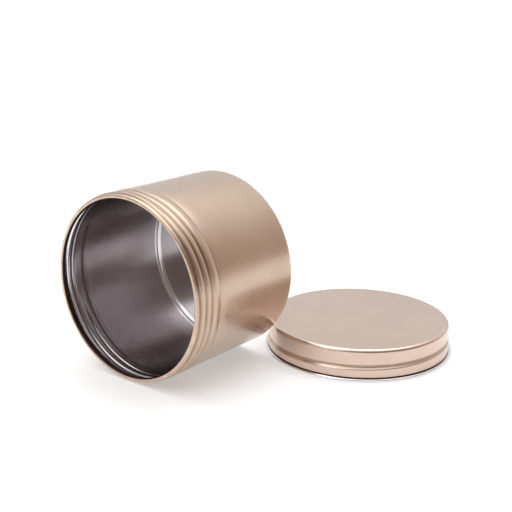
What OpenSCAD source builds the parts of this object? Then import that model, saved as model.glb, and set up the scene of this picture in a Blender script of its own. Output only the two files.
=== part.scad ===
// Candle tin with a screw lid: a drawn and rolled aluminium can lying on its side,
// and its lid lying flat beside it, top up, with a foam sealing disc inside.
// Millimetres, +Z up, standing surface at z = 0. The tin's mouth faces -Y.

/* [Tin] */
// Outer diameter of the smooth wall
body_d = 64; // [58:0.5:70]
// Height from the base to the rim
body_h = 49; // [45:0.5:60]
// Thickness of the aluminium sheet
sheet_t = 0.35; // [0.3:0.01:0.4]
// Outside radius of the corner between wall and base
base_corner_r = 1; // [0.8:0.1:2]
// Diameter of the tube that the rim is rolled into
rim_roll_d = 1.7; // [1.5:0.1:1.8]

/* [Screw neck] */
// Height that the thread's crest stands proud of the smooth wall
crest_rise = 0.15; // [0.1:0.01:0.2]
// Depth of the thread groove below the crest
groove_depth = 0.7; // [0.6:0.05:0.75]
// Full width of the thread groove
groove_w = 1.5; // [1.4:0.1:1.8]
// Rise of the thread in one turn
thread_lead = 2.75; // [2.6:0.05:3]
// Number of turns of the groove on the neck
neck_turns = 2.6; // [1.5:0.1:2.6]
// Angle at which the groove leaves the rim, seen from the mouth
thread_from = 60; // [0:5:355]
// Distance from the rim to the middle of the soft shoulder groove
shoulder_at = 11; // [10.6:0.1:11.2]
// Depth of the shoulder groove
shoulder_depth = 0.4; // [0.2:0.05:0.5]

/* [Lid] */
// Outer diameter of the upper part of the skirt
lid_d = 65.5; // [65.5:0.1:65.8]
// Height of the lid
lid_h = 11.1; // [10.8:0.1:11.5]
// Outside radius of the edge between top and skirt
lid_edge_r = 1.2; // [0.9:0.1:1.4]
// Amount by which the band under the groove is larger in radius
band_flare = 0.25; // [0.15:0.05:0.3]
// Height of the flattened tube that the hem is rolled into
hem_roll_h = 0.95; // [0.9:0.05:1.2]
// Width of the hem's tube
hem_roll_w = 1.4; // [1.2:0.1:1.5]
// Thickness of the foam sealing disc
liner_t = 1; // [0.8:0.1:1.2]

/* [Placement] */
// How far the lid's centre lies to the side of the tin's axis
lid_aside = 42.1; // [42.1:0.1:60]
// How far the lid's centre lies behind the plane of the mouth
lid_behind = 76.9; // [76.9:0.1:90]
// Turn of the lid about its own axis
lid_turned = 128; // [0:1:359]

/* [Hidden] */
$fn = 120;
champagne = [0.78, 0.66, 0.56];
foam_white = [0.93, 0.93, 0.9];

segments = 60;            // flats round a threaded band
sag = 1 - cos(180 / segments);
row_step = 0.28;          // height between two rows of a threaded band
seam = 0.4;               // length that a threaded band runs inside the plain wall
rim_seam = 0.15;          // the same, inside the rim's roll
inset = 0.02;             // how far below the plain wall's faces it runs there
fade = 30;                // degrees over which a groove runs out

body_r = body_d / 2;
crest_r = body_r + crest_rise;
rim_drop = 0.2;           // lets the lid's thread pass over the rim
rim_r = body_r - rim_drop;
rim_roll_r = rim_roll_d / 2;
neck_end = 12.4;          // depth below the rim where the smooth wall starts
throat_at = 1.4;          // middle of the ring groove under the rim
shoulder_w = 1.8;

lid_r = lid_d / 2;
band_r = lid_r + band_flare;
hem_roll_r = hem_roll_h / 2;
hem_flat = hem_roll_w - hem_roll_h;
hem_r = band_r - sheet_t + hem_roll_w;
lid_groove_depth = 0.55;
lid_groove_w = 2;
lid_groove_low = 3.5;     // height of the lower end of the lid's groove
flare_under = 0.5;        // the band starts to flare this far above the groove's middle
flare_h = 1.5;            // and has its full width this much lower
band_top = 2.2;           // the lid's threaded band starts here
skirt_low = 8;            // and ends here
liner_play = 0.05;        // the disc is held by the inside of the top's round edge
liner_r = lid_r - lid_edge_r - liner_play;

tin_x = crest_r - (crest_r + lid_aside + hem_r) / 2;
mouth_y = -(lid_behind + hem_r) / 2;

// 1 in the middle of a groove of width w, 0 outside it
function dip(x, w) = abs(x) < w / 2 ? (1 + cos(360 * x / w)) / 2 : 0;

// 0 to 1 over a length
function ease(x) = x <= 0 ? 0 : x >= 1 ? 1 : (1 - cos(180 * x)) / 2;

// How deep a helical groove is at an angle travelled from its start, plus whole turns
function helix_dip(x, travelled, lead, turns, w, n = 0) =
    n > turns ? 0 :
    let (t = travelled + 360 * n, left = 360 * turns - t)
    max(left < 0 ? 0 : dip(x - lead * t / 360, w) * ease(left / fade),
        helix_dip(x, travelled, lead, turns, w, n + 1));

// Outer radius of the neck at depth s below the rim and angle a
function neck_r(s, a) =
    let (
        wall = s < throat_at ? rim_r
             : s < shoulder_at ? crest_r
             : crest_r - crest_rise * ease((s - shoulder_at) / (neck_end - shoulder_at)),
        travelled = (360 + thread_from - a) % 360,
        throat = (wall - crest_r + groove_depth) * dip(s - throat_at, groove_w),
        thread = groove_depth * helix_dip(s - throat_at, travelled, thread_lead, neck_turns, groove_w),
        shoulder = shoulder_depth * dip(s - shoulder_at, shoulder_w)
    )
    wall - max(throat, thread, shoulder);

// Outer radius of the lid's skirt at height z and angle a
function skirt_r(z, a) =
    let (middle = lid_groove_low + thread_lead * a / 360)
    lid_r + band_flare * ease((middle + flare_under - z) / flare_h)
    - lid_groove_depth * dip(z - middle, lid_groove_w) * ease(a / fade) * ease((360 - a) / fade);

// A tube with flats, from z[0] up to the last z, between an outer and an inner radius
module threaded_tube(z, outer, inner) {
    rows = len(z);
    ring = function (radius, j) [for (k = [0:segments - 1])
        let (a = 360 * k / segments, r = radius(z[j], a)) [r * cos(a), r * sin(a), z[j]]];
    points = [for (j = [0:rows - 1]) each ring(outer, j), for (j = [rows - 1:-1:0]) each ring(inner, j)];
    corner = function (j, k) (j % (2 * rows)) * segments + k % segments;
    faces = [for (j = [0:2 * rows - 1], k = [0:segments - 1], half = [0, 1])
        half == 0 ? [corner(j, k), corner(j + 1, k), corner(j + 1, k + 1)]
                  : [corner(j, k), corner(j + 1, k + 1), corner(j, k + 1)]];
    polyhedron(points, faces, convexity = 8);
}

function rows_between(low, high) =
    let (n = ceil((high - low) / row_step)) [for (j = [0:n]) low + (high - low) * j / n];

// Cross-section of a cup's outline, closed at the bottom, with a round corner
module cup_section(r, h, corner) {
    translate([0, corner]) square([r, h - corner]);
    square([r - corner, h]);
    translate([r - corner, corner]) circle(corner);
}

// Cross-section of a sheet rolled into a tube of diameter d, open between two angles.
// The tube can be flattened by making it longer towards +X.
module roll_section(d, open_from, open_to, longer = 0) {
    difference() {
        round_section(d, longer);
        round_section(d - 2 * sheet_t, longer);
        polygon([[0, 0], for (a = [open_from, (open_from + open_to) / 2, open_to]) d * [cos(a), sin(a)]]);
    }
}

module round_section(d, longer) {
    circle(d = d);
    if (longer > 0) {
        translate([longer, 0]) circle(d = d);
        translate([0, -d / 2]) square([longer, d]);
    }
}

module tin_wall_and_base() {
    top = body_h - neck_end;
    rotate_extrude() difference() {
        cup_section(body_r, top, base_corner_r);
        translate([0, sheet_t]) cup_section(body_r - sheet_t, top, base_corner_r - sheet_t);
    }
}

module rim() {
    rotate_extrude() translate([rim_r - rim_roll_r, body_h - rim_roll_r])
        roll_section(rim_roll_d, -95, 0);
}

module neck() {
    thin = sheet_t - 2 * inset - sag * body_r;
    threaded_tube(rows_between(body_h - neck_end - seam, body_h - rim_roll_r + rim_seam),
        function (z, a) neck_r(body_h - z, a) - inset,
        function (z, a) neck_r(body_h - z, a) - inset - thin);
}

module tin_body() {
    color(champagne)
    translate([tin_x, mouth_y + body_h, crest_r]) rotate([90, 0, 0]) union() {
        tin_wall_and_base();
        neck();
        rim();
    }
}

module place_lid() {
    translate([tin_x + lid_aside, mouth_y + lid_behind, 0]) rotate([0, 0, lid_turned]) children();
}

module lid_top() {
    rotate_extrude() translate([0, lid_h]) mirror([0, 1]) difference() {
        cup_section(lid_r, lid_h - skirt_low, lid_edge_r);
        translate([0, sheet_t]) cup_section(lid_r - sheet_t, lid_h - skirt_low, lid_edge_r - sheet_t);
    }
}

module hem() {
    rotate_extrude() {
        translate([band_r - sheet_t + hem_roll_r, hem_roll_r])
            roll_section(hem_roll_h, 95, 180, hem_flat);
        translate([band_r - sheet_t, hem_roll_r]) square([sheet_t, band_top - hem_roll_r]);
    }
}

module lid_thread() {
    thin = sheet_t - 2 * inset - sag * lid_r;
    threaded_tube(rows_between(band_top - seam, skirt_low + seam),
        function (z, a) skirt_r(z, a) - inset,
        function (z, a) skirt_r(z, a) - inset - thin);
}

module lid_shell() {
    color(champagne) place_lid() union() {
        lid_top();
        lid_thread();
        hem();
    }
}

module lid_liner() {
    color(foam_white) place_lid()
    translate([0, 0, lid_h - sheet_t - liner_t]) cylinder(r = liner_r, h = liner_t);
}

tin_body();
lid_shell();
lid_liner();
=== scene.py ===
"""Candle tin with a screw lid: the finished look of the can, its lid and the foam disc."""

import math

import bpy
import numpy as np
from mathutils import Matrix, Vector


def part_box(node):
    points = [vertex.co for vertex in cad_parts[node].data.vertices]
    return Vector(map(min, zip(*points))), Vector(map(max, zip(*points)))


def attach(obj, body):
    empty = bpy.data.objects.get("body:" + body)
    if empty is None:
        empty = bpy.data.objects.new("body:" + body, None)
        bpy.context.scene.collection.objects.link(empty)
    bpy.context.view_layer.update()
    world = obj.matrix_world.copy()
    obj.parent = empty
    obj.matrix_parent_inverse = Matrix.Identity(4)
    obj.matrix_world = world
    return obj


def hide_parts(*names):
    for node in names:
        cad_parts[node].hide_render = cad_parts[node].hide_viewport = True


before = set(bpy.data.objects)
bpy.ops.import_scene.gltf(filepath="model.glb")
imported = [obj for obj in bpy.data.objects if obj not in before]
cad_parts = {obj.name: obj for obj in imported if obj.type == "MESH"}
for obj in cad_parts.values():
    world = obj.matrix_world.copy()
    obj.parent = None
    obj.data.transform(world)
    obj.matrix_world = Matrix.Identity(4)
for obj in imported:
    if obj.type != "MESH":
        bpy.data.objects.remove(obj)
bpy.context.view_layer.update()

# ---------------------------------------------------------------- sizes, in millimetres

MM = 0.001
SHEET = 0.35  # thickness of the aluminium

BODY_R = 32.0
BASE_CORNER = 1.0
RIM_DROP = 0.2  # the rim's radius is this much smaller than the wall's
RIM_ROLL = 0.85  # radius of the tube that the rim is rolled into
ROLL_START = 9  # degrees round the roll of its first ring, next to the neck's last
ROLL_CROWN = 122  # degrees round the roll where the lacquer ends and painted shade begins
ROLL_END = 265  # degrees round the roll where the sheet ends
NECK_END = 12.4  # depth under the rim where the smooth wall starts

THROAT_AT = 1.4  # depth under the rim of the ring groove that the thread starts from
GROOVE_DEPTH = 0.7
GROOVE_W = 1.35
CREST_ROUND = 0.25  # share of the groove's depth that rounds the crests
ROUND_W = 3.6
THREAD_LEAD = 2.75
NECK_TURNS = 2.6
THREAD_FROM = 60 / 360  # place round the rim where the groove starts, in turns
FADE = 30 / 360  # turns over which a groove runs out
SHOULDER_AT = 11.0
SHOULDER_DEPTH = 0.25
SHOULDER_W = 2.2

SHADED_TO = 2.8  # depth to which shade is painted inside the can, in the gap behind the rim's roll
SMOOTH_FROM = 4.6  # deeper than this the thread shows less on the inside
SMOOTH_OVER = 1.5
SMOOTHED = 0.4  # share of the relief that is lost there

LID_EDGE = 1.2
BAND_FLARE = 0.25  # the band under the groove is this much larger in radius than the skirt
FLARE_ABOVE = 0.5  # the flare starts this far above the groove's middle
FLARE_H = 1.5
LID_GROOVE_DEPTH = 0.55
LID_GROOVE_W = 2.0
LID_GROOVE_LOW = 3.5
LID_TURNED = 128  # degrees
HEM_W = 1.4  # the hem's rolled tube is wider than high
HEM_H = 0.95
HEM_OPEN = 95  # degrees round the hem's roll where the sheet ends
PAINTED_SHADE_H = 0.4  # height of the line of painted shade over the hem

FOAM_EDGE = 0.2
PRESSED_R = 29.9  # the rim presses the foam outside this radius
PRESSED_W = 0.6
PRESSED_DEPTH = 0.12

# ---------------------------------------------------------------- how fine the meshes are

COLUMNS = 256
THREAD_STEP = 0.12  # millimetres between two rings
WALL_STEP = 3
FLAT_STEP = 6
FOAM_STEP = 4
PRESSED_STEP = 0.1
ARC_STEP = 9  # degrees
SMALL_ARC_STEP = 15
FLAT_FROM = 8  # radius of the innermost ring of a metal disc
FLAT_MARGIN = 0.4  # from a metal disc's outermost ring to its round edge
FOAM_MARGIN = 0.5
PRESSED_MARGIN = 1
WALL_MARGIN = 0.3  # from the wall's last ring to the neck
SKIRT_MARGIN = 0.1  # from the skirt's last rings to the hem's roll and the lid's edge
SHARP_FROM = math.radians(50)

# ---------------------------------------------------------------- places, from the frame


def middle_and_size(node):
    """The middle of a node's box and its lengths, in metres."""
    low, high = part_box(node)
    return (low + high) / 2, high - low


tin_middle, tin_size = middle_and_size("tin_body")
lid_middle, lid_size = middle_and_size("lid_shell")
foam_middle, foam_size = middle_and_size("lid_liner")

body_h = tin_size.y / MM
crest_r = tin_size.x / 2 / MM
rim_r = BODY_R - RIM_DROP
lid_h = lid_size.z / MM
band_r = lid_size.x / 2 / MM - HEM_W + SHEET
lid_r = band_r - BAND_FLARE
foam_r = foam_size.x / 2 / MM
foam_t = foam_size.z / MM

base_middle = (tin_middle.x, tin_middle.y + tin_size.y / 2, tin_middle.z)
tin_place = Matrix.Translation(base_middle) @ Matrix.Rotation(math.radians(90), 4, "X")
lid_place = Matrix.Translation((lid_middle.x, lid_middle.y, 0))
foam_place = Matrix.Translation((foam_middle.x, foam_middle.y, foam_middle.z - foam_size.z / 2))

# ---------------------------------------------------------------- threaded outlines

turn = np.arange(COLUMNS) / COLUMNS  # each column's place round the axis, in turns


def dip(x, width):
    """1 in the middle of a groove, 0 outside it."""
    return np.where(np.abs(x) < width / 2, (1 + np.cos(2 * np.pi * x / width)) / 2, 0.0)


def ease(x):
    """0 up to x = 0, 1 from x = 1 on, and smooth in between."""
    return (1 - np.cos(np.pi * np.clip(x, 0, 1))) / 2


def neck_wall(s):
    """Radius of the neck's crests at depth s under the rim."""
    if s < THROAT_AT:
        return rim_r
    return crest_r - (crest_r - BODY_R) * ease((s - SHOULDER_AT) / (NECK_END - SHOULDER_AT))


def neck_relief(s):
    """How far the neck's surface lies under its crests, for every column, at depth s under the rim.
    Each groove is a narrow notch in a wide shallow dip, which rounds the crests beside it."""
    throat_depth = neck_wall(s) - crest_r + GROOVE_DEPTH
    notch = dip(s - THROAT_AT, GROOVE_W) * throat_depth / GROOVE_DEPTH
    wide = CREST_ROUND * dip(s - SHOULDER_AT, ROUND_W)
    for whole_turns in range(math.ceil(NECK_TURNS)):
        travelled = (THREAD_FROM - turn) % 1 + whole_turns
        run_out = ease((NECK_TURNS - travelled) / FADE)
        below = s - THROAT_AT - THREAD_LEAD * travelled
        notch = np.maximum(notch, dip(below, GROOVE_W) * run_out)
        wide = wide + CREST_ROUND * dip(below, ROUND_W) * run_out
    grooves = GROOVE_DEPTH * (notch + (1 - notch) * np.minimum(wide, CREST_ROUND))
    return np.maximum(grooves, SHOULDER_DEPTH * dip(s - SHOULDER_AT, SHOULDER_W))


def skirt_groove(z):
    """How deep the groove in the lid's skirt is, from 0 to 1, for every column, at height z."""
    faded = ease(turn / FADE) * ease((1 - turn) / FADE)
    return dip(z - LID_GROOVE_LOW - THREAD_LEAD * turn, LID_GROOVE_W) * faded


def skirt_r(z):
    """Outer radius of the lid's skirt, for every column, at height z."""
    flare_from = LID_GROOVE_LOW + THREAD_LEAD * turn + FLARE_ABOVE
    flare = BAND_FLARE * ease((flare_from - z) / FLARE_H)
    return lid_r + flare - LID_GROOVE_DEPTH * skirt_groove(z)


# ---------------------------------------------------------------- meshes


def arc(centre_r, centre_h, radius, start, end, step=ARC_STEP):
    """Points (radius, height) round part of a circle, start and end in degrees."""
    count = max(2, round(abs(end - start) / step))
    angles = np.radians(np.linspace(start, end, count + 1))
    return [(centre_r + radius * math.cos(a), centre_h + radius * math.sin(a)) for a in angles]


def spaced(low, high, step):
    """Numbers from low to high, at most a step apart."""
    return np.linspace(low, high, max(2, math.ceil(abs(high - low) / step)) + 1)


def turned(name, outline, place, body, node, start=0):
    """A closed mesh turned round the local Z axis, with its first column at start degrees.
    outline is a list of (radius, height, material number, wear and shade), with its first and last point
    on the axis. A radius or a wear and shade value is one number, or one for each column. Each vertex
    keeps this value, which is over 0 on edges that are rubbed and under 0 in grooves, where it paints
    shade."""
    angles = 2 * np.pi * turn + math.radians(start)
    rings = []
    wear_and_shade = [0.0]
    for radius, height, _, wear_and_shade_here in outline[1:-1]:
        r = np.broadcast_to(radius, (COLUMNS,))
        heights = np.full(COLUMNS, height)
        rings.append(np.stack([r * np.cos(angles), r * np.sin(angles), heights], axis=1))
        wear_and_shade += list(np.broadcast_to(wear_and_shade_here, (COLUMNS,)))
    wear_and_shade.append(0.0)
    first = [[0.0, 0.0, outline[0][1]]]
    last = [[0.0, 0.0, outline[-1][1]]]
    points = np.concatenate([first, *rings, last]) * MM
    faces, painted = skin(len(rings), [paint for _, _, paint, _ in outline])
    mesh = bpy.data.meshes.new(name)
    mesh.from_pydata(points.tolist(), [], faces)
    mesh.polygons.foreach_set("material_index", painted)
    mesh.polygons.foreach_set("use_smooth", [True] * len(faces))
    mesh.attributes.new("wear_and_shade", "FLOAT", "POINT").data.foreach_set("value", wear_and_shade)
    mesh.set_sharp_from_angle(angle=SHARP_FROM)
    mesh.update()
    piece = bpy.data.objects.new(name, mesh)
    bpy.context.scene.collection.objects.link(piece)
    piece.matrix_world = place
    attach(piece, body)
    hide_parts(node)
    return piece


def skin(ring_count, paints):
    """The faces between rings of COLUMNS points, with one point before them and one after, and each
    face's material number. paints has one for each ring and end point, used on the faces before it."""
    faces = []
    painted = []
    last_ring = 1 + (ring_count - 1) * COLUMNS
    last_point = 1 + ring_count * COLUMNS
    for k in range(COLUMNS):
        beside = (k + 1) % COLUMNS
        faces.append((0, 1 + beside, 1 + k))
        painted.append(paints[1])
        for j in range(ring_count - 1):
            a = 1 + j * COLUMNS
            b = a + COLUMNS
            faces.append((a + k, a + beside, b + beside, b + k))
            painted.append(paints[j + 2])
        faces.append((last_ring + k, last_ring + beside, last_point))
        painted.append(paints[-1])
    return faces, painted


# the fourth material of the can is a lighter copy of its bare metal, painted light on the first inner
# bulge and the inside base
# the third material of each paints shade: a near-black copy of the bare metal in the rolls and the gaps
# and creases beside them
LACQUER, BARE, PAINTED_SHADE, PAINTED_LIGHT = 0, 1, 2, 3  # material numbers of the can and the lid
FOAM = 0
EDGE_WEAR = 0.6
ROLL_WEAR = 0.5
GROOVE_SHADE_IN_LID = 0.5  # share of the painted groove shade that the lid's groove has, against the neck's grooves


def points_of(pairs, paint, wear_and_shade_here=0.0):
    """Outline points at (radius, height) pairs, with one material number and one wear and shade value."""
    return [(radius, height, paint, wear_and_shade_here) for radius, height in pairs]


def disc_points(radii, height, paint):
    """Outline points of a flat face, from its middle out to the last of radii."""
    return points_of([(0, height)] + [(r, height) for r in radii], paint)


def inside_paint(s):
    """The material inside the can at depth s under the rim: painted shade behind the roll, a lighter
    copy of the bare metal as a painted highlight on the first bulge, and deeper the darker copy, which
    paints shade.
    """
    if s < SHADED_TO:
        return PAINTED_SHADE
    if s < SMOOTH_FROM:
        return PAINTED_LIGHT
    return BARE


def tin_outline():
    """From the middle of the base outside, up the wall, round the rim's roll and down the inside."""
    roll = (rim_r - RIM_ROLL, body_h - RIM_ROLL)
    corner = (BODY_R - BASE_CORNER, BASE_CORNER)
    base_radii = spaced(FLAT_FROM, BODY_R - BASE_CORNER - FLAT_MARGIN, FLAT_STEP)
    wall = spaced(2 * BASE_CORNER, body_h - NECK_END - WALL_MARGIN, WALL_STEP)
    depths = spaced(NECK_END, RIM_ROLL, THREAD_STEP)
    outline = disc_points(base_radii, 0, LACQUER)
    outline += points_of(arc(*corner, BASE_CORNER, -90, 0), LACQUER, EDGE_WEAR)
    outline += points_of([(BODY_R, h) for h in wall], LACQUER)
    for s in depths:
        relief = neck_relief(s)
        # the negative last value paints shade into the neck's grooves
        outline.append((neck_wall(s) - relief, body_h - s, LACQUER, -relief / GROOVE_DEPTH))
    outline += points_of(arc(*roll, RIM_ROLL, ROLL_START, ROLL_CROWN), LACQUER, ROLL_WEAR)
    # painted shade on the roll's inner side and inside it
    outline += points_of(arc(*roll, RIM_ROLL, ROLL_CROWN, ROLL_END)[1:], PAINTED_SHADE)
    outline += points_of(arc(*roll, RIM_ROLL - SHEET, ROLL_END, ROLL_START), PAINTED_SHADE)
    for s in depths[::-1]:
        relief = neck_relief(s) * (1 - SMOOTHED * ease((s - SMOOTH_FROM) / SMOOTH_OVER))
        outline.append((neck_wall(s) - relief - SHEET, body_h - s, inside_paint(s), 0.0))
    outline += points_of([(BODY_R - SHEET, h) for h in wall[::-1]], BARE)
    # painted light: the inside corner and base take the lighter copy of the bare metal
    outline += points_of(arc(*corner, BASE_CORNER - SHEET, 0, -90), PAINTED_LIGHT)
    outline += disc_points(base_radii, SHEET, PAINTED_LIGHT)[::-1]
    return outline


def lid_outline():
    """From the middle of the underside, down inside the skirt, round the hem's roll and up to the top."""
    edge = (lid_r - LID_EDGE, lid_h - LID_EDGE)
    top_radii = spaced(FLAT_FROM, lid_r - LID_EDGE - FLAT_MARGIN, FLAT_STEP)
    heights = spaced(HEM_H / 2 + SKIRT_MARGIN, lid_h - LID_EDGE - SKIRT_MARGIN, THREAD_STEP)
    outline = disc_points(top_radii, lid_h - SHEET, BARE)
    outline += points_of(arc(*edge, LID_EDGE - SHEET, 90, 0), BARE)
    outline += [(skirt_r(z) - SHEET, z, BARE, 0.0) for z in heights[::-1]]
    outline += points_of(hem_roll(HEM_H / 2), BARE, ROLL_WEAR)
    # painted shade inside the hem's roll and on the skirt just over it
    outline += points_of(hem_roll(HEM_H / 2 - SHEET)[::-1], PAINTED_SHADE)
    for z in heights:
        paint = LACQUER if z > HEM_H + PAINTED_SHADE_H else PAINTED_SHADE
        # the negative last value paints shade into the skirt's groove
        outline.append((skirt_r(z), z, paint, -GROOVE_SHADE_IN_LID * skirt_groove(z)))
    outline += points_of(arc(*edge, LID_EDGE, 0, 90), LACQUER, EDGE_WEAR)
    outline += disc_points(top_radii, lid_h, LACQUER)[::-1]
    return outline


def hem_roll(radius):
    """The hem's flattened roll from the band's inside, round underneath, to its cut edge over the top."""
    near = band_r - SHEET + HEM_H / 2
    far = near + HEM_W - HEM_H
    low = arc(near, HEM_H / 2, radius, 180, 270, SMALL_ARC_STEP)
    side = arc(far, HEM_H / 2, radius, 270, 450, SMALL_ARC_STEP)
    return low + side + arc(near, HEM_H / 2, radius, 90, HEM_OPEN)


def foam_outline():
    """From the middle of the open face, which the can's rim has pressed in, to the glued face."""
    edge_r = foam_r - FOAM_EDGE
    pressed_from = PRESSED_R - PRESSED_W
    open_radii = spaced(FOAM_STEP, PRESSED_R - PRESSED_MARGIN, FOAM_STEP)
    glued_radii = spaced(FOAM_STEP, edge_r - FOAM_MARGIN, FOAM_STEP)
    outline = disc_points(open_radii, 0, FOAM)
    for r in spaced(pressed_from, PRESSED_R, PRESSED_STEP):
        outline.append((r, PRESSED_DEPTH * ease((r - pressed_from) / PRESSED_W), FOAM, 0.0))
    low_edge = arc(edge_r, PRESSED_DEPTH + FOAM_EDGE, FOAM_EDGE, -90, 0, SMALL_ARC_STEP)
    high_edge = arc(edge_r, foam_t - FOAM_EDGE, FOAM_EDGE, 0, 90, SMALL_ARC_STEP)
    outline += points_of(low_edge + high_edge, FOAM)
    outline += disc_points(glued_radii, foam_t, FOAM)[::-1]
    return outline


# ---------------------------------------------------------------- node helpers

NOISE_LOW = 0.3  # most of a noise texture lies between these two
NOISE_HIGH = 0.7
NOISE_ROUGHNESS = 0.55
FIRST_COLOUR, SECOND_COLOUR, MIXED_COLOUR = 6, 7, 2  # a Mix node's sockets when it mixes colours


class Graph:
    """The nodes of a material or a world, with short calls for the kinds used here."""

    def __init__(self, owner):
        owner.use_nodes = True
        self.nodes = owner.node_tree.nodes
        self.link = owner.node_tree.links.new

    def between(self, value, low, high, start=0.0, end=1.0):
        """value from start to end becomes a number from low to high."""
        node = self.nodes.new("ShaderNodeMapRange")
        self.link(value, node.inputs["Value"])
        node.inputs["From Min"].default_value = start
        node.inputs["From Max"].default_value = end
        node.inputs["To Min"].default_value = low
        node.inputs["To Max"].default_value = high
        return node.outputs["Result"]

    def calculated(self, operation, a, b):
        """A number worked out from two other nodes' outputs."""
        node = self.nodes.new("ShaderNodeMath")
        node.operation = operation
        self.link(a, node.inputs[0])
        self.link(b, node.inputs[1])
        return node.outputs["Value"]

    def mix(self, share, first, second):
        """A colour between two; each is a colour or another node's output."""
        node = self.nodes.new("ShaderNodeMix")
        node.data_type = "RGBA"
        self.link(share, node.inputs["Factor"])
        for number, colour in ((FIRST_COLOUR, first), (SECOND_COLOUR, second)):
            if isinstance(colour, bpy.types.NodeSocket):
                self.link(colour, node.inputs[number])
            else:
                node.inputs[number].default_value = (*colour, 1)
        return node.outputs[MIXED_COLOUR]


class Paint(Graph):
    """A Principled material."""

    def __init__(self, name, colour, **values):
        self.material = bpy.data.materials.new(name)
        super().__init__(self.material)
        self.shader = self.nodes["Principled BSDF"]
        self.shader.inputs["Base Color"].default_value = (*colour, 1)
        for socket, value in values.items():
            self.shader.inputs[socket.replace("_", " ")].default_value = value

    def feed(self, socket, output):
        """Another node's output drives one of the shader's sockets."""
        self.link(output, self.shader.inputs[socket])

    def stretched(self, scale):
        """The piece's own coordinates in metres, multiplied by a scale for each axis."""
        node = self.nodes.new("ShaderNodeVectorMath")
        node.operation = "MULTIPLY"
        self.link(self.nodes.new("ShaderNodeTexCoord").outputs["Object"], node.inputs[0])
        node.inputs[1].default_value = scale
        return node.outputs["Vector"]

    def noise(self, scale, detail):
        """Noise from 0 to 1; scale is how many lumps fit in a metre along each axis."""
        node = self.nodes.new("ShaderNodeTexNoise")
        self.link(self.stretched(scale), node.inputs["Vector"])
        node.inputs["Scale"].default_value = 1
        node.inputs["Detail"].default_value = detail
        node.inputs["Roughness"].default_value = NOISE_ROUGHNESS
        return node.outputs["Fac"]

    def varied(self, noise, low, high):
        """A noise's output, spread over the numbers from low to high."""
        return self.between(noise, low, high, NOISE_LOW, NOISE_HIGH)

    def cells(self, density):
        """The distance from the middle of the nearest cell, with density cells in a metre."""
        node = self.nodes.new("ShaderNodeTexVoronoi")
        self.link(self.stretched((density,) * 3), node.inputs["Vector"])
        node.inputs["Scale"].default_value = 1
        return node.outputs["Distance"]

    def wear_and_shade_here(self):
        """The wear, and the painted shade of the grooves, that turned() keeps on each vertex."""
        node = self.nodes.new("ShaderNodeAttribute")
        node.attribute_name = "wear_and_shade"
        return node.outputs["Fac"]

    def bump(self, height, distance, strength):
        """A normal that looks like relief, where height 1 stands a distance in metres above 0."""
        node = self.nodes.new("ShaderNodeBump")
        node.inputs["Strength"].default_value = strength
        node.inputs["Distance"].default_value = distance
        self.link(height, node.inputs["Height"])
        return node.outputs["Normal"]


# ---------------------------------------------------------------- materials

CHAMPAGNE = (0.58, 0.44, 0.34)
CHAMPAGNE_DEEP = (0.54, 0.4, 0.3)
ROSE = (0.68, 0.53, 0.44)
ROSE_DEEP = (0.64, 0.49, 0.41)
RUBBED = (0.85, 0.77, 0.68)
# painted shade at the bottom of the neck's and the lid's grooves
GROOVE_SHADE = (0.2, 0.12, 0.06)
GREY = (0.47, 0.43, 0.44)
GREY_DEEP = (0.41, 0.37, 0.38)
SILVER = (0.9, 0.89, 0.91)
SILVER_DEEP = (0.82, 0.81, 0.83)
# near-black colours that paint shade into the rolls, the gap behind the rim and the crease over the hem
SHADED = (0.06, 0.032, 0.032)
SHADED_DEEP = (0.04, 0.02, 0.02)
FOAM_WHITE = (0.9, 0.9, 0.88)
FOAM_HOLLOW_SHADE = (0.8, 0.8, 0.76)

# how many lumps of a noise fit in a metre along the piece's own axes; the last is its turning axis
TONE_SCALE = (35, 35, 60)
FLAKE_SCALE = (9000, 9000, 9000)
PATCH_SCALE = (300, 300, 300)
SATIN_SCALE = (150, 150, 300)
FAINT_LINES = (30, 30, 1500)
CLOUD_SCALE = (45, 45, 45)
DRAWN_LINES = (60, 60, 3000)
FOAM_CELLS = 2600

MOST_FLAKE = 0.06  # share of the rubbed colour in the brightest flakes
MOST_GROOVE_SHADE = 0.75  # share of the painted shade colour at the bottom of the neck's grooves
MOST_RUBBED = 0.7  # share of the rubbed colour in the barest patches, times their wear
LINE_BUMP = 0.00001  # metres
CELL_BUMP = 0.00008


def lacquer(name, light, dark, coat):
    """Satin champagne lacquer over drawn aluminium: fine flake, faint lines round the axis, rubbed
    edges, and shade painted into the grooves as a darker colour."""
    paint = Paint(name, light, Metallic=1.0, Coat_Weight=coat, Coat_Roughness=0.22)
    tone = paint.varied(paint.noise(TONE_SCALE, detail=2), 0, 1)
    flakes = paint.noise(FLAKE_SCALE, detail=1)
    flake = paint.between(flakes, 0, MOST_FLAKE, start=0.35, end=0.75)
    # painted shade: the lacquer darkens towards the bottom of the grooves, where the value is under 0
    groove_shade = paint.between(paint.wear_and_shade_here(), MOST_GROOVE_SHADE, 0, start=-1, end=-0.15)
    patches = paint.between(paint.noise(PATCH_SCALE, detail=4), 0, MOST_RUBBED, start=0.45, end=0.7)
    rubbed = paint.calculated("MULTIPLY", paint.wear_and_shade_here(), patches)
    colour = paint.mix(tone, light, dark)
    colour = paint.mix(flake, colour, RUBBED)
    colour = paint.mix(groove_shade, colour, GROOVE_SHADE)
    colour = paint.mix(rubbed, colour, RUBBED)
    paint.feed("Base Color", colour)
    paint.feed("Roughness", paint.varied(paint.noise(SATIN_SCALE, detail=2), low=0.27, high=0.33))
    paint.feed("Normal", paint.bump(paint.noise(FAINT_LINES, detail=3), LINE_BUMP, strength=0.2))
    return paint.material


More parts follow.
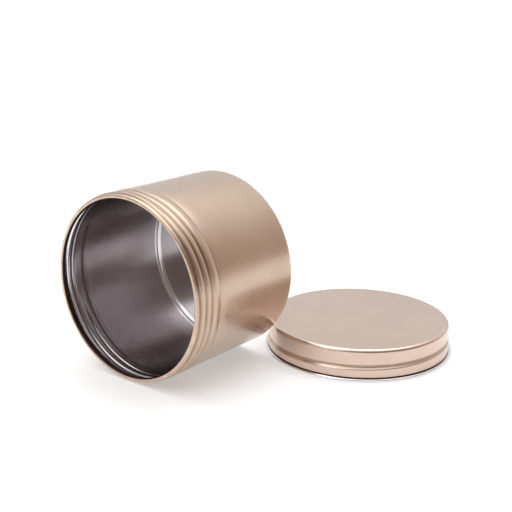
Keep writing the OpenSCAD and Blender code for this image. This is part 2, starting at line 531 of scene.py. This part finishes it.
def bare_metal(name, light, dark, rough, line_strength):
    """Drawn aluminium under a clear wash: faint lines round the axis and a cloudy sheen."""
    paint = Paint(name, light, Metallic=1.0)
    cloud = paint.varied(paint.noise(CLOUD_SCALE, detail=4), 0, 1)
    lines = paint.noise(DRAWN_LINES, detail=3)
    paint.feed("Base Color", paint.mix(cloud, light, dark))
    paint.feed("Roughness", paint.varied(lines, low=rough - 0.02, high=rough + 0.03))
    paint.feed("Normal", paint.bump(lines, LINE_BUMP, line_strength))
    return paint.material


def foam(name):
    """White closed-cell foam, with shade painted into the hollows of its cells."""
    paint = Paint(name, FOAM_WHITE, Specular_IOR_Level=0.3)
    cell = paint.cells(FOAM_CELLS)
    # painted shade: darker in the hollow middle of each cell
    shade = paint.between(cell, 0, 1, start=0.1, end=0.9)
    paint.feed("Base Color", paint.mix(shade, FOAM_HOLLOW_SHADE, FOAM_WHITE))
    paint.feed("Roughness", paint.between(cell, low=0.5, high=0.75))
    paint.feed("Normal", paint.bump(cell, CELL_BUMP, strength=0.6))
    return paint.material


tin_lacquer = lacquer("tin_lacquer", CHAMPAGNE, CHAMPAGNE_DEEP, coat=0.6)
lid_lacquer = lacquer("lid_lacquer", ROSE, ROSE_DEEP, coat=0.35)
# a darker copy of the bare aluminium, which paints shade over the can's inside wall
inside_metal = bare_metal("inside_metal", GREY, GREY_DEEP, rough=0.22, line_strength=0.03)
# a lighter copy of the same aluminium: a painted highlight on the first inner bulge and painted light on
# the inside base
painted_light_metal = bare_metal("painted_light_metal", SILVER, SILVER_DEEP, rough=0.18, line_strength=0.03)
hem_metal = bare_metal("hem_metal", SILVER, SILVER_DEEP, rough=0.22, line_strength=0.12)
# a near-black copy of the bare metal that paints shade into the rolls, the gap behind the rim and the
# crease over the hem
painted_shade_metal = bare_metal("painted_shade_metal", SHADED, SHADED_DEEP, rough=0.5, line_strength=0.12)
white_foam = foam("white_foam")

# ---------------------------------------------------------------- pieces

tin = turned("tin_can", tin_outline(), tin_place, "tin", "tin_body")
for material in (tin_lacquer, inside_metal, painted_shade_metal, painted_light_metal):
    tin.data.materials.append(material)

lid = turned("screw_lid", lid_outline(), lid_place, "lid", "lid_shell", LID_TURNED)
for material in (lid_lacquer, hem_metal, painted_shade_metal):
    lid.data.materials.append(material)

disc = turned("foam_disc", foam_outline(), foam_place, "liner", "lid_liner")
disc.data.materials.append(white_foam)

# ---------------------------------------------------------------- studio

FLOOR_R = 9.0  # metres
FLOOR_SIDES = 96
PALE = (0.7, 0.7, 0.7)
WHITE = (1, 1, 1)
WARM = (1, 0.76, 0.62)

# the sky's (height of the direction, strength), from the horizon up to overhead
SKY = [(0, 0.7), (0.27, 0.76), (0.45, 0.82), (0.6, 0.92), (0.75, 0.95), (0.83, 2.8), (1, 3.1)]
SKY_TOWARDS = (-0.75, 0.66, 0)
SKY_DIMMEST = 0.3
FRONT_LIGHT = (-0.13, -1.0, 0.85)
FRONT_AIM = (0, 0, 0.03)
FRONT_SIZE = (0.8, 0.5)
FRONT_POWER = 2.6


def floor_disc():
    """A pale floor, wide enough to fill the view."""
    angles = [2 * math.pi * k / FLOOR_SIDES for k in range(FLOOR_SIDES)]
    edge = [(FLOOR_R * math.cos(a), FLOOR_R * math.sin(a), 0) for a in angles]
    mesh = bpy.data.meshes.new("floor")
    mesh.from_pydata(edge, [], [range(FLOOR_SIDES)])
    floor = bpy.data.objects.new("floor", mesh)
    bpy.context.scene.collection.objects.link(floor)
    paint = Paint("pale_floor", PALE, Roughness=0.7, Specular_IOR_Level=0.2, Emission_Strength=0.36)
    mesh.materials.append(paint.material)


def softbox(name, place, aim, size, power):
    """A rectangular area light at place, facing aim."""
    data = bpy.data.lights.new(name, "AREA")
    data.shape = "RECTANGLE"
    data.size, data.size_y = size
    data.energy = power
    light = bpy.data.objects.new(name, data)
    bpy.context.scene.collection.objects.link(light)
    light.location = place
    light.rotation_mode = "QUATERNION"
    light.rotation_quaternion = (Vector(aim) - Vector(place)).to_track_quat("-Z", "Y")


def brightness_curve(graph, height, steps):
    """A number from 0 to 1 that follows steps, (height, strength) pairs from height 0 to height 1."""
    brightest = max(strength for _, strength in steps)
    node = graph.nodes.new("ShaderNodeFloatCurve")
    points = node.mapping.curves[0].points
    for place, strength in steps[1:-1]:
        points.new(place, strength / brightest)
    points[0].location = (0, steps[0][1] / brightest)
    points[-1].location = (1, steps[-1][1] / brightest)
    for point in points:
        point.handle_type = "VECTOR"
    node.mapping.update()
    graph.link(height, node.inputs["Value"])
    return node.outputs["Value"]


def studio_world(steps, towards, dimmest, tint):
    """Soft light from all round, as bright as steps says at each height. Away from the direction
    towards, it falls to a dimmest share of that, and takes a tint low down."""
    world = bpy.data.worlds.new("studio")
    graph = Graph(world)
    background = graph.nodes["Background"]
    seen = graph.nodes.new("ShaderNodeTexCoord").outputs["Generated"]
    split = graph.nodes.new("ShaderNodeSeparateXYZ")
    graph.link(seen, split.inputs["Vector"])
    height = split.outputs["Z"]
    facing = graph.nodes.new("ShaderNodeVectorMath")
    facing.operation = "DOT_PRODUCT"
    graph.link(seen, facing.inputs[0])
    facing.inputs[1].default_value = Vector(towards).normalized()
    share = graph.between(facing.outputs["Value"], dimmest, 1, start=-0.6, end=0.3)
    strength = graph.calculated("MULTIPLY", brightness_curve(graph, height, steps), share)
    brightest = max(strength for _, strength in steps)
    graph.link(graph.between(strength, 0, brightest), background.inputs["Strength"])
    bright_side = graph.between(share, 0, 1, start=0.75, end=1)
    high_up = graph.between(height, 0, 1, start=0.5, end=0.75)
    untinted = graph.calculated("MAXIMUM", bright_side, high_up)
    graph.link(graph.mix(untinted, tint, WHITE), background.inputs["Color"])
    bpy.context.scene.world = world


floor_disc()
studio_world(SKY, SKY_TOWARDS, SKY_DIMMEST, WARM)
softbox("front", FRONT_LIGHT, FRONT_AIM, FRONT_SIZE, FRONT_POWER)

# ---------------------------------------------------------------- camera

MOUTH = Vector((tin_middle.x, tin_middle.y - tin_size.y / 2, 0))
CAMERA_AIM = MOUTH + Vector((-0.07265, 0.162125, 0))
CAMERA_DISTANCE = 0.4907
CAMERA_AZIMUTH = math.radians(38.06)
CAMERA_ELEVATION = math.radians(15.91)
CAMERA_ROLL = 0.0104
CAMERA_LENS = 68.13  # millimetres, as is the sensor's width
CAMERA_SENSOR = 36
CAMERA_SHIFT_Y = -0.0288
NEAREST = 0.01  # metres
FARTHEST = 50


def make_camera():
    data = bpy.data.cameras.new("camera")
    data.sensor_width = CAMERA_SENSOR
    data.lens = CAMERA_LENS
    data.shift_y = CAMERA_SHIFT_Y
    data.clip_start = NEAREST
    data.clip_end = FARTHEST
    camera = bpy.data.objects.new("camera", data)
    bpy.context.scene.collection.objects.link(camera)
    flat = math.cos(CAMERA_ELEVATION)
    sideways = math.sin(CAMERA_AZIMUTH) * flat
    forwards = math.cos(CAMERA_AZIMUTH) * flat
    back = Vector((sideways, -forwards, math.sin(CAMERA_ELEVATION)))
    facing = back.to_track_quat("Z", "Y").to_matrix().to_4x4()
    place = Matrix.Translation(CAMERA_AIM + back * CAMERA_DISTANCE)
    camera.matrix_world = place @ facing @ Matrix.Rotation(CAMERA_ROLL, 4, "Z")
    bpy.context.scene.camera = camera


make_camera()
bpy.context.scene.view_settings.view_transform = "Standard"
